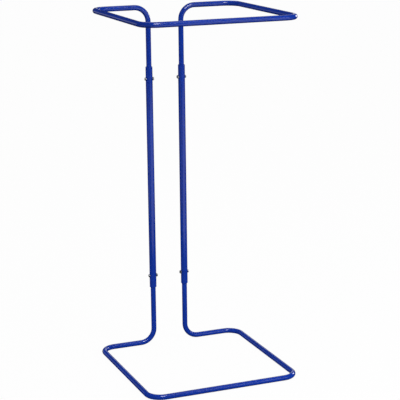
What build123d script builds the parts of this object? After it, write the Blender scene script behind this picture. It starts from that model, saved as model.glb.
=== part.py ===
from build123d import *
import os

# Free-standing stand that holds a bag open by its rim, in millimetres, +Z up
# Two alike bent rods, one on the floor and one turned over at the top, are joined by two tubes
# +X runs along the open back side from the left leg to the right one, and +Y points to the legs
# The origin is on the floor, under the middle of the stand's outline

# Bent rod: a square loop whose two ends turn into legs at the middle of the back side
rod_diameter = 9.525
loop_width = 285.75
loop_depth = 285.75
bend_radius = 26.0
leg_spacing = 63.5
stand_height = 645.0
rod_end_chamfer = 0.8

# Joining tube: the legs slide into its two ends with some play
tube_length = 419.1
tube_wall = 0.889
rod_play = 0.6985
tube_end_break = 0.25
leg_insertion = 50.8

# Cross screw and nut: one pair through each tube end, with the head outside and the nut inside
screw_inset = 22.4
screw_diameter = 3.0
screw_hole_play = 0.2
screw_point_chamfer = 0.4
head_diameter = 5.6
head_height = 2.2
head_rim_height = 1.1
head_crown_diameter = 3.8
recess_width = 2.9
recess_slot = 0.75
recess_depth = 1.2
recess_turn = 25.0
nut_width = 5.5
nut_height = 2.4
nut_corner_break = 0.35
nut_thread_play = 0.05
tip_past_nut = 0.8
seat_gap = 0.03

# Radii and places that follow from the sizes above
rod_radius = rod_diameter / 2
bore_radius = rod_radius + rod_play
tube_radius = bore_radius + tube_wall
screw_radius = screw_diameter / 2
screw_hole_radius = screw_radius + screw_hole_play
nut_bore_radius = screw_radius + nut_thread_play
nut_corner_radius = nut_width / 3**0.5
seat_distance = tube_radius + seat_gap
side_x = loop_width / 2 - rod_radius
leg_x = leg_spacing / 2

# The tubes are wider than the rods, so the loops stand a little forward to keep the outline centred
loop_centre_y = -(tube_radius - rod_radius) / 2
back_y = loop_centre_y + loop_depth / 2 - rod_radius
front_y = loop_centre_y - loop_depth / 2 + rod_radius

# Heights of the tubes, of the leg ends inside them and of the screws
tube_bottom = (stand_height - tube_length) / 2
leg_end = tube_bottom + leg_insertion
lower_screw = tube_bottom + screw_inset
upper_screw = stand_height - lower_screw

os.makedirs("parts", exist_ok=True)

# Base frame: one round rod, bent flat round the square and then up into the two legs
rod_corners = [
    (-leg_x, back_y, leg_end),
    (-leg_x, back_y, rod_radius),
    (-side_x, back_y, rod_radius),
    (-side_x, front_y, rod_radius),
    (side_x, front_y, rod_radius),
    (side_x, back_y, rod_radius),
    (leg_x, back_y, rod_radius),
    (leg_x, back_y, leg_end),
]

with BuildPart() as base_frame:
    with BuildLine() as rod_route:
        FilletPolyline(*rod_corners, radius=bend_radius)
    with BuildSketch(Plane(origin=rod_route.line @ 0, z_dir=rod_route.line % 0)):
        Circle(rod_radius)
    sweep(path=rod_route.line)
    leg_tops = base_frame.faces().filter_by(Axis.Z)
    chamfer(leg_tops.edges(), rod_end_chamfer)
    # One drilling along X crosses both legs
    with BuildSketch(Plane.YZ):
        with Locations((back_y, lower_screw)):
            Circle(screw_hole_radius)
    extrude(amount=leg_spacing, both=True, mode=Mode.SUBTRACT)
base_frame.part.label = "base_frame"
export_step(base_frame.part, "parts/base_frame.step")

# Top frame: the same bent rod turned over, so that its loop carries the rim of the bag
with BuildPart() as top_frame:
    mirror(base_frame.part, about=Plane.XY.offset(stand_height / 2))
top_frame.part.label = "top_frame"
export_step(top_frame.part, "parts/top_frame.step")


# Tube: cut square at both ends, with a cross hole near each end
def make_tube(name, side):
    with BuildPart() as tube:
        with BuildSketch(Plane.XY.offset(tube_bottom)):
            with Locations((side * leg_x, back_y)):
                Circle(tube_radius)
                Circle(bore_radius, mode=Mode.SUBTRACT)
        extrude(amount=tube_length)
        cut_ends = tube.faces().filter_by(Axis.Z)
        chamfer(cut_ends.edges(), min(tube_end_break, tube_wall / 3))
        with BuildSketch(Plane.YZ.offset(side * leg_x)):
            with Locations((back_y, lower_screw), (back_y, upper_screw)):
                Circle(screw_hole_radius)
        extrude(amount=2 * tube_radius, both=True, mode=Mode.SUBTRACT)
    tube.part.label = name
    export_step(tube.part, f"parts/{name}.step")


# Screw: round shank and pan head with a cross recess, turned about an axis that points outwards
def make_screw(name, side, height):
    outward = Vector(side, 0, 0)
    seat = Vector(side * leg_x, back_y, height) + outward * seat_distance
    shank_length = 2 * seat_distance + nut_height + tip_past_nut
    with BuildPart() as screw:
        with BuildSketch(Plane(origin=seat, x_dir=outward, z_dir=(0, 1, 0))):
            with BuildLine():
                Polyline(
                    (head_height, 0),
                    (-shank_length, 0),
                    (-shank_length, screw_radius - screw_point_chamfer),
                    (-shank_length + screw_point_chamfer, screw_radius),
                    (0, screw_radius),
                    (0, head_diameter / 2),
                    (head_rim_height, head_diameter / 2),
                    (head_height, head_crown_diameter / 2),
                    close=True,
                )
            make_face()
        revolve(axis=Axis(seat, outward))
        crown = Plane(origin=seat + outward * head_height, x_dir=(0, 0, 1), z_dir=outward)
        with BuildSketch(crown):
            Rectangle(recess_width, recess_slot, rotation=recess_turn)
            Rectangle(recess_slot, recess_width, rotation=recess_turn)
        extrude(amount=-recess_depth, mode=Mode.SUBTRACT)
    screw.part.label = name
    export_step(screw.part, f"parts/{name}.step")


# Nut: hexagon seated on the inner side of the tube, its outer corners turned off
def make_nut(name, side, height):
    inward = Vector(-side, 0, 0)
    seat = Vector(side * leg_x, back_y, height) + inward * seat_distance
    with BuildPart() as nut:
        with BuildSketch(Plane(origin=seat, x_dir=(0, 0, 1), z_dir=inward)):
            RegularPolygon(nut_width / 2, 6, major_radius=False)
            Circle(nut_bore_radius, mode=Mode.SUBTRACT)
        extrude(amount=nut_height)
        with BuildSketch(Plane(origin=seat, x_dir=inward, z_dir=(0, 1, 0))):
            with BuildLine():
                Polyline(
                    (0, 0),
                    (0, nut_corner_radius),
                    (nut_height - nut_corner_break, nut_corner_radius),
                    (nut_height, nut_width / 2),
                    (nut_height, 0),
                    close=True,
                )
            make_face()
        revolve(axis=Axis(seat, inward), mode=Mode.INTERSECT)
    nut.part.label = name
    export_step(nut.part, f"parts/{name}.step")


for side_name, side in (("left", -1), ("right", 1)):
    make_tube(f"{side_name}_tube", side)
    for level_name, height in (("lower", lower_screw), ("upper", upper_screw)):
        make_screw(f"{level_name}_{side_name}_screw", side, height)
        make_nut(f"{level_name}_{side_name}_nut", side, height)
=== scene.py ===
import math

import bmesh
import bpy
from mathutils import Matrix, Vector


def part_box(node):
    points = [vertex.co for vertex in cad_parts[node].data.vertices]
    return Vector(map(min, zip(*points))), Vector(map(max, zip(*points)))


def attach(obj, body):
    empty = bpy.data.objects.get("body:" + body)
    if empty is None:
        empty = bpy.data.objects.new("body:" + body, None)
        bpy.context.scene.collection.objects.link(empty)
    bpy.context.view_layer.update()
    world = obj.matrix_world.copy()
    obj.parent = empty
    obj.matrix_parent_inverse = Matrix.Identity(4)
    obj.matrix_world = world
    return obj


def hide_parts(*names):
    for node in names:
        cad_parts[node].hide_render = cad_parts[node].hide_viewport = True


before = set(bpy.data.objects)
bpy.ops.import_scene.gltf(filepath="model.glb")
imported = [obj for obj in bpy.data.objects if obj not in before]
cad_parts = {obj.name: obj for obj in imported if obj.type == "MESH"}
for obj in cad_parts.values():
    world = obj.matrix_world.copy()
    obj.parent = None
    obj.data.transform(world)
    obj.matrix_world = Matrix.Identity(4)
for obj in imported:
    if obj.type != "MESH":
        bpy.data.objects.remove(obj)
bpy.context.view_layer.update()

# Looks for a coated wire-rod bag stand: epoxy finish, cross screws, nuts, studio and camera
mm = 0.001


# Shared helpers
def hexColour(code):         # sRGB hex to the linear colour that sockets take
    channels = [int(code[i:i + 2], 16) / 255 for i in (1, 3, 5)]
    linear = [c / 12.92 if c <= 0.04045 else ((c + 0.055) / 1.055) ** 2.4 for c in channels]
    return (*linear, 1.0)


def addNode(tree, kind, settings=None, inputs=None):
    node = tree.nodes.new(kind)
    for name, value in (settings or {}).items():
        setattr(node, name, value)
    for socket, value in (inputs or {}).items():
        if isinstance(value, bpy.types.NodeSocket):
            tree.links.new(value, node.inputs[socket])
        else:
            node.inputs[socket].default_value = value
    return node


def newMaterial(name):
    material = bpy.data.materials.new(name)
    material.use_nodes = True
    material.node_tree.nodes.clear()
    return material, material.node_tree


def finishMaterial(tree, shader):
    addNode(tree, "ShaderNodeOutputMaterial", inputs={"Surface": shader.outputs["BSDF"]})


def meshObject(name, bm):
    mesh = bpy.data.meshes.new(name)
    bm.to_mesh(mesh)
    bm.free()
    piece = bpy.data.objects.new(name, mesh)
    bpy.context.scene.collection.objects.link(piece)
    return piece


# Epoxy: fluid-bed powder baked on drawn steel rod, a glossy skin with faint orange peel
epoxy = {
    "deep": "#0c2d92",       # where the coat is thickest
    "bright": "#1540b6",     # where it is stretched thin over a bend
    "cloudSize": 60.0,       # mm, slow changes of thickness along the rod
    "peelSize": 4.0,         # mm, real peel is about 1.5 mm and would not show, so it is drawn coarser
    "peelHeight": 0.01,      # mm
    "roughness": (0.08, 0.16),
    "ior": 1.55,
}


def makeEpoxy():
    material, tree = newMaterial("blueEpoxyBakedOnSteel")
    place = addNode(tree, "ShaderNodeTexCoord")
    cloud = addNode(tree, "ShaderNodeTexNoise", inputs={
        "Vector": place.outputs["Object"], "Scale": 1 / (epoxy["cloudSize"] * mm), "Detail": 3.0})
    tint = addNode(tree, "ShaderNodeMix", {"data_type": "RGBA"}, {
        "Factor": cloud.outputs["Fac"], "A": hexColour(epoxy["deep"]), "B": hexColour(epoxy["bright"])})
    peel = addNode(tree, "ShaderNodeTexNoise", inputs={
        "Vector": place.outputs["Object"], "Scale": 1 / (epoxy["peelSize"] * mm), "Detail": 2.0})
    low, high = epoxy["roughness"]
    gloss = addNode(tree, "ShaderNodeMapRange", inputs={
        "Value": peel.outputs["Fac"], "To Min": low, "To Max": high})
    bump = addNode(tree, "ShaderNodeBump", inputs={
        "Height": peel.outputs["Fac"], "Distance": epoxy["peelHeight"] * mm, "Strength": 1.0})
    shader = addNode(tree, "ShaderNodeBsdfPrincipled", inputs={
        "Base Color": tint.outputs["Result"], "Roughness": gloss.outputs["Result"],
        "Normal": bump.outputs["Normal"], "IOR": epoxy["ior"]})
    finishMaterial(tree, shader)
    return material


# Zinc: bright electroplate on small turned steel fasteners, a silvery metal with a cloudy sheen
zinc = {
    "light": "#d9dcde",
    "dull": "#a9adb2",
    "cloudSize": 1.2,        # mm
    "roughness": (0.25, 0.45),
}


def makeZinc():
    material, tree = newMaterial("brightZincPlatedSteel")
    place = addNode(tree, "ShaderNodeTexCoord")
    cloud = addNode(tree, "ShaderNodeTexNoise", inputs={
        "Vector": place.outputs["Object"], "Scale": 1 / (zinc["cloudSize"] * mm), "Detail": 4.0})
    tint = addNode(tree, "ShaderNodeMix", {"data_type": "RGBA"}, {
        "Factor": cloud.outputs["Fac"], "A": hexColour(zinc["dull"]), "B": hexColour(zinc["light"])})
    low, high = zinc["roughness"]
    gloss = addNode(tree, "ShaderNodeMapRange", inputs={
        "Value": cloud.outputs["Fac"], "To Min": high, "To Max": low})
    shader = addNode(tree, "ShaderNodeBsdfPrincipled", inputs={
        "Base Color": tint.outputs["Result"], "Roughness": gloss.outputs["Result"], "Metallic": 1.0})
    finishMaterial(tree, shader)
    return material


blueEpoxy = makeEpoxy()
zincPlate = makeZinc()
print("materials made")

# Rods and tubes keep their solids and take the coat
for node in ("base_frame", "top_frame", "left_tube", "right_tube"):
    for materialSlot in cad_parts[node].material_slots:
        materialSlot.material = blueEpoxy
print("rods and tubes coated")


# Fasteners are made about +Z, in mm: 0 is the seat of the screw's head on the tube, the head rises
# from it, and the shank and the nut lie below it
sides = {"left": -1, "right": 1}
levels = ("lower", "upper")
screw = {
    "headDiameter": 5.6,
    "headHeight": 2.2,
    "headFacets": 48,
    "rimHeight": 0.75,       # straight part of the head's side
    "seatBreak": 0.12,
    "domeSteps": 9,
    "domeFullness": 0.62,    # 1 is a half ellipse, less is flatter on top
    "recessWidth": 2.9,
    "recessSlot": 0.75,
    "recessDepth": 1.2,
    "recessTaper": (0.42, 0.7),  # length and width at the bottom against the top
    "recessTurn": 25.0,      # degrees
    "pointLength": 0.4,
    "pointRadius": 1.1,
}
thread = {
    "pitch": 0.5,
    "crestRadius": 1.495,
    "rootRadius": 1.19,
    "rootEnd": 1 / 4,        # one tooth along the pitch: flat root, flank, flat crest, flank
    "crestStart": 9 / 16,
    "crestEnd": 11 / 16,
    "facets": 24,            # a turn
    "nutPlay": 0.045,
}
nut = {
    "cornerBreak": 0.35,
    "countersink": 0.3,
    "turnedFacets": 96,
}
overlap = {                  # mm, how far a shape runs past the one it joins or cuts
    "shankInHead": 0.3,
    "recessOverHead": 0.3,
    "tapOverNut": 0.2,
}
weldGap = 1e-4               # mm, between points that are one
planeGap = 1e-5              # mm, between a point and the plane it lies on
sliverSize = 5e-4            # mm, the longest edge that a cut leaves by rounding
creaseAngle = 35.0           # degrees, sharper edges stay crisp


def inMm(metres):            # a place in the frame, rid of its rounding
    return round(metres / mm, 5)


def reach(node):             # how near the middle of the stand a node comes, and how far out, along X
    return sorted(abs(inMm(corner.x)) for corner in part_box(node))


screwTip, screwCrown = reach("lower_left_screw")
nutEnd, nutSeat = reach("lower_left_nut")
headSeat = screwCrown - screw["headHeight"]


def spunSolid(profile, facets):  # profile is (radius, height) from axis to axis
    bm = bmesh.new()
    points = [bm.verts.new((radius, 0, height)) for radius, height in profile]
    edges = [bm.edges.new(pair) for pair in zip(points, points[1:])]
    bmesh.ops.spin(bm, geom=points + edges, axis=(0, 0, 1), cent=(0, 0, 0), steps=facets,
                   angle=math.tau, use_merge=True)
    bmesh.ops.remove_doubles(bm, verts=bm.verts, dist=weldGap)
    bmesh.ops.recalc_face_normals(bm, faces=bm.faces)
    return bm


def threadedRod(low, high, play, limitRadius):  # right-hand, its phase fixed at height 0
    pitch, facets = thread["pitch"], thread["facets"]
    root, crest = thread["rootRadius"] + play, thread["crestRadius"] + play
    first = math.floor(low / pitch) - 1
    turns = math.ceil(high / pitch) + 1 - first
    tooth = [(root, 0), (root, thread["rootEnd"]), (crest, thread["crestStart"]),
             (crest, thread["crestEnd"]), (root, 1)]
    bm = bmesh.new()
    points = [bm.verts.new((radius, 0, (first + part) * pitch)) for radius, part in tooth]
    edges = [bm.edges.new(pair) for pair in zip(points, points[1:])]
    bmesh.ops.spin(bm, geom=points + edges, axis=(0, 0, 1), cent=(0, 0, 0), steps=facets * turns,
                   angle=math.tau * turns, dvec=(0, 0, pitch / facets))
    bmesh.ops.remove_doubles(bm, verts=bm.verts, dist=weldGap)
    for height, normal in ((low, (0, 0, -1)), (high, (0, 0, 1))):
        bmesh.ops.bisect_plane(bm, geom=bm.verts[:] + bm.edges[:] + bm.faces[:], dist=planeGap,
                               plane_co=(0, 0, height), plane_no=normal, clear_outer=True)
    for vert in bm.verts:
        radius = vert.co.xy.length
        vert.co.xy *= limitRadius(radius, vert.co.z) / radius
    bmesh.ops.holes_fill(bm, edges=[edge for edge in bm.edges if edge.is_boundary], sides=0)
    bmesh.ops.recalc_face_normals(bm, faces=bm.faces)
    return bm


def cutWith(bm, cutters):  # each cutter is (bmesh, operation), used up in turn
    piece = meshObject("blank", bm)
    tools = []
    for cutter, operation in cutters:
        tools.append(meshObject("cutter", cutter))
        modifier = piece.modifiers.new("cut", "BOOLEAN")
        modifier.object, modifier.operation, modifier.solver = tools[-1], operation, "EXACT"
    evaluated = piece.evaluated_get(bpy.context.evaluated_depsgraph_get())
    shape = bpy.data.meshes.new_from_object(evaluated)
    for spare in [piece] + tools:
        bpy.data.meshes.remove(spare.data)
    bm = bmesh.new()
    bm.from_mesh(shape)
    bmesh.ops.remove_doubles(bm, verts=bm.verts, dist=sliverSize)
    bmesh.ops.dissolve_degenerate(bm, edges=bm.edges, dist=sliverSize)
    bm.to_mesh(shape)
    bm.free()
    return shape


def recessArm(turn):         # one of the two crossed slots, narrower towards its bottom
    over = overlap["recessOverHead"]
    deep = screw["recessDepth"] + over
    bm = bmesh.new()
    bmesh.ops.create_cube(bm, size=1)
    bmesh.ops.scale(bm, vec=(screw["recessWidth"], screw["recessSlot"], deep), verts=bm.verts)
    bottom = [vert for vert in bm.verts if vert.co.z < 0]
    bmesh.ops.scale(bm, vec=(*screw["recessTaper"], 1), verts=bottom)
    bmesh.ops.translate(bm, vec=(0, 0, screw["headHeight"] + over - deep / 2), verts=bm.verts)
    turned = Matrix.Rotation(math.radians(turn), 3, "Z")
    bmesh.ops.rotate(bm, cent=(0, 0, 0), matrix=turned, verts=bm.verts)
    return bm


def makeScrewShape():
    radius, rim, height = screw["headDiameter"] / 2, screw["rimHeight"], screw["headHeight"]
    profile = [(0, 0), (radius - screw["seatBreak"], 0), (radius, screw["seatBreak"])]
    for step in range(screw["domeSteps"] + 1):
        angle = math.pi / 2 * step / screw["domeSteps"]
        across = max(math.cos(angle), 0) ** screw["domeFullness"]
        rise = math.sin(angle) ** screw["domeFullness"]
        profile.append((radius * across, rim + (height - rim) * rise))
    head = spunSolid(profile, screw["headFacets"])
    tip = screwTip - headSeat

    def pointed(radius, z):  # the shank narrows to a flat point
        slope = (thread["crestRadius"] - screw["pointRadius"]) / screw["pointLength"]
        return min(radius, screw["pointRadius"] + slope * (z - tip))

    shank = threadedRod(tip, overlap["shankInHead"], 0, pointed)
    turn = screw["recessTurn"]
    return cutWith(head, [(shank, "UNION"), (recessArm(turn), "DIFFERENCE"),
                          (recessArm(turn + 90), "DIFFERENCE")])


def makeNutShape():
    end, seat = nutEnd - headSeat, nutSeat - headSeat
    low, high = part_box("lower_left_nut")
    width = inMm(high.y - low.y)                # across its flats
    flat, corner = width / 2, width / math.sqrt(3)
    upright = Matrix.Translation((0, 0, end)) @ Matrix.Rotation(math.pi / 2, 4, "Z")
    blank = bmesh.new()
    bmesh.ops.create_circle(blank, cap_ends=True, radius=corner, segments=6, matrix=upright)
    risen = bmesh.ops.extrude_face_region(blank, geom=blank.faces[:])
    raised = [item for item in risen["geom"] if isinstance(item, bmesh.types.BMVert)]
    bmesh.ops.translate(blank, vec=(0, 0, seat - end), verts=raised)
    bmesh.ops.recalc_face_normals(blank, faces=blank.faces)
    turned = spunSolid([(0, end), (flat, end), (corner, end + nut["cornerBreak"]),
                        (corner, seat - nut["cornerBreak"]), (flat, seat), (0, seat)],
                       nut["turnedFacets"])

    def countersunk(radius, z):  # the thread opens in a cone at both faces
        deep = max(z - seat, end - z) + nut["countersink"]
        return max(radius, thread["rootRadius"] + deep)

    over = overlap["tapOverNut"]
    tap = threadedRod(end - over, seat + over, thread["nutPlay"], countersunk)
    return cutWith(blank, [(turned, "INTERSECT"), (tap, "DIFFERENCE")])


def putInPlace(shape, node, joint, side):
    nutLow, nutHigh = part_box(f"{joint}_nut")    # its flats lie evenly about the screw's axis
    axis = (nutLow + nutHigh) / 2
    seat = Vector((sides[side] * headSeat, inMm(axis.y), inMm(axis.z)))
    outward, upward = Vector((sides[side], 0, 0)), Vector((0, 0, 1))
    turn = Matrix((upward, outward.cross(upward), outward)).transposed().to_4x4()
    mesh = shape.copy()
    mesh.transform(Matrix.Scale(mm, 4) @ Matrix.Translation(seat) @ turn)
    mesh.shade_smooth()
    mesh.set_sharp_from_angle(angle=math.radians(creaseAngle))
    mesh.materials.clear()
    mesh.materials.append(zincPlate)
    piece = bpy.data.objects.new(f"{node}_detail", mesh)
    bpy.context.scene.collection.objects.link(piece)
    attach(piece, "root")
    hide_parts(node)


screwShape = makeScrewShape()
nutShape = makeNutShape()
for side in sides:
    for level in levels:
        joint = f"{level}_{side}"
        putInPlace(screwShape, f"{joint}_screw", joint, side)
        putInPlace(nutShape, f"{joint}_nut", joint, side)
print("screws and nuts fitted")


# Studio: a white light table in a dim room, washes that only light the stand, and soft boxes that
# only draw highlights on it
studio = {
    "table": "#ffffff",
    "tableSize": 60.0,       # m, so that its edge lies beyond the picture
    "tableGlow": 0.96,       # share of the table's white that comes from inside it
    "tableHaze": 1.1,        # mm
    "tableRoughness": (0.85, 0.95),
    "room": "#c8ccd4",
    "roomStrength": 0.05,
    # Name, kind, place and aim in m, strength, and a sun's spread in degrees or an area's size in m
    "washes": [
        ("softKey", "AREA", (1.2, -1.7, 1.1), (0.0, -0.1, 0.4), 6.5, (1.2, 1.2)),
        ("frontFill", "SUN", (-0.3, -1.0, 0.25), (0.0, 0.0, 0.0), 0.5, 90.0),
        ("ceilingFill", "SUN", (0.0, 0.0, 1.0), (0.0, 0.0, 0.0), 0.72, 120.0),
        ("leftFill", "SUN", (-1.0, -0.2, 0.7), (0.0, 0.0, 0.0), 0.82, 150.0),
        ("lowLeftFill", "SUN", (-1.0, -0.3, 0.1), (0.0, 0.0, 0.0), 0.25, 60.0),
        ("backLeftFill", "SUN", (-0.8, 0.8, 0.3), (0.0, 0.0, 0.0), 0.46, 60.0),
        ("tableBounce", "AREA", (0.0, 0.0, 0.0003), (0.0, 0.0, 1.0), 0.17, (1.3, 1.3)),
    ],
    # Name, place and aim in m, width and height in m, brightness
    "boxes": [
        ("overheadBox", (0.6, 1.3, 2.2), (0.0, 0.0, 0.6), (1.4, 1.0), 1.0),
        ("frontBox", (-0.05, -1.5, 1.9), (-0.1, -0.14, 0.64), (1.1, 0.7), 12.0),
        ("frontHighBox", (0.3, -1.2, 2.8), (0.0, 0.0, 0.6), (1.6, 1.0), 1.15),
        ("frontRightBox", (1.3, -2.2, 0.9), (0.0, 0.0, 0.5), (1.0, 1.0), 1.2),
        ("rightBox", (2.3, 0.84, 0.96), (0.1, -0.1, 0.6), (0.7, 0.7), 8.0),
        ("backRightBox", (1.6, 2.6, 0.9), (0.0, 0.0, 0.5), (1.6, 1.2), 0.8),
        ("backLeftBox", (-1.3, 3.0, 0.45), (0.0, 0.0, 0.5), (1.6, 0.7), 0.4),
        ("tableSheen", (0.9, -1.6, 0.001), (0.9, -1.6, 1.0), (3.0, 2.2), 0.78),
        ("leftTableSheen", (-2.0, -0.6, 0.001), (-2.0, -0.6, 1.0), (2.0, 2.5), 0.29),
    ],
}


def makeTableTop():          # opal acrylic lit from inside, an even white that mirrors nothing
    material, tree = newMaterial("opalAcrylicLightTable")
    place = addNode(tree, "ShaderNodeTexCoord")
    haze = addNode(tree, "ShaderNodeTexNoise", inputs={
        "Vector": place.outputs["Object"], "Scale": 1 / (studio["tableHaze"] * mm), "Detail": 2.0})
    low, high = studio["tableRoughness"]
    gloss = addNode(tree, "ShaderNodeMapRange", inputs={
        "Value": haze.outputs["Fac"], "To Min": low, "To Max": high})
    lit = hexColour(studio["table"])
    shader = addNode(tree, "ShaderNodeBsdfPrincipled", inputs={
        "Base Color": [channel * (1 - studio["tableGlow"]) for channel in lit[:3]] + [1.0],
        "Roughness": gloss.outputs["Result"], "Specular IOR Level": 0.0,
        "Emission Color": lit, "Emission Strength": studio["tableGlow"]})
    finishMaterial(tree, shader)
    return material


def makeTable():
    bm = bmesh.new()
    bmesh.ops.create_grid(bm, x_segments=1, y_segments=1, size=studio["tableSize"] / 2)
    table = meshObject("lightTable", bm)
    table.data.materials.append(makeTableTop())
    # Only the camera sees it: the bounce and the sheens stand for a table of real size
    table.visible_glossy = False
    table.visible_diffuse = False


def placeLamp(name, kind, place, aim, strength, size):
    lamp = bpy.data.lights.new(name, kind)
    if kind == "SUN":
        lamp.angle = math.radians(size)
        lamp.energy = strength
    else:
        lamp.shape = "RECTANGLE"
        lamp.size, lamp.size_y = size
        lamp.energy = strength * math.pi * size[0] * size[1]    # its face is then that bright
    holder = bpy.data.objects.new(name, lamp)
    holder.location = place
    holder.rotation_euler = (Vector(aim) - Vector(place)).to_track_quat("-Z", "Y").to_euler()
    holder.visible_camera = False
    bpy.context.scene.collection.objects.link(holder)
    return holder


def makeStudio():
    makeTable()
    world = bpy.data.worlds.new("dimRoom")
    world.use_nodes = True
    room = world.node_tree.nodes["Background"]
    room.inputs["Color"].default_value = hexColour(studio["room"])
    room.inputs["Strength"].default_value = studio["roomStrength"]
    bpy.context.scene.world = world
    for name, kind, place, aim, strength, size in studio["washes"]:
        placeLamp(name, kind, place, aim, strength, size).visible_glossy = False
    for name, place, aim, size, brightness in studio["boxes"]:
        placeLamp(name, "AREA", place, aim, brightness, size).visible_diffuse = False
    bpy.context.scene.view_settings.view_transform = "Standard"


# Camera: the photograph's place, found from the straight runs of the stand
view = {
    "azimuth": -21.91,       # degrees, 0 looks along +Y
    "elevation": 13.72,
    "roll": -0.62,
    "distance": 2.451,       # m from the aim
    "aim": (0.0091, -0.0036, 0.3091),
    "focalPixels": 1377.7,   # in the photograph's frame, which is framePixels wide
    "framePixels": 400,
    "sensorWidth": 36.0,     # mm
}


def makeCamera():
    azimuth, elevation = math.radians(view["azimuth"]), math.radians(view["elevation"])
    level = math.cos(elevation)
    back = Vector((math.sin(azimuth) * level, -math.cos(azimuth) * level, math.sin(elevation)))
    lens = bpy.data.cameras.new("photographCamera")
    lens.sensor_width = view["sensorWidth"]
    lens.lens = view["focalPixels"] / view["framePixels"] * view["sensorWidth"]
    camera = bpy.data.objects.new("photographCamera", lens)
    camera.location = Vector(view["aim"]) + back * view["distance"]
    turn = back.to_track_quat("Z", "Y").to_matrix()
    camera.rotation_euler = (turn @ Matrix.Rotation(math.radians(view["roll"]), 3, "Z")).to_euler()
    bpy.context.scene.collection.objects.link(camera)
    bpy.context.scene.camera = camera


makeStudio()
makeCamera()
print("studio and camera set")
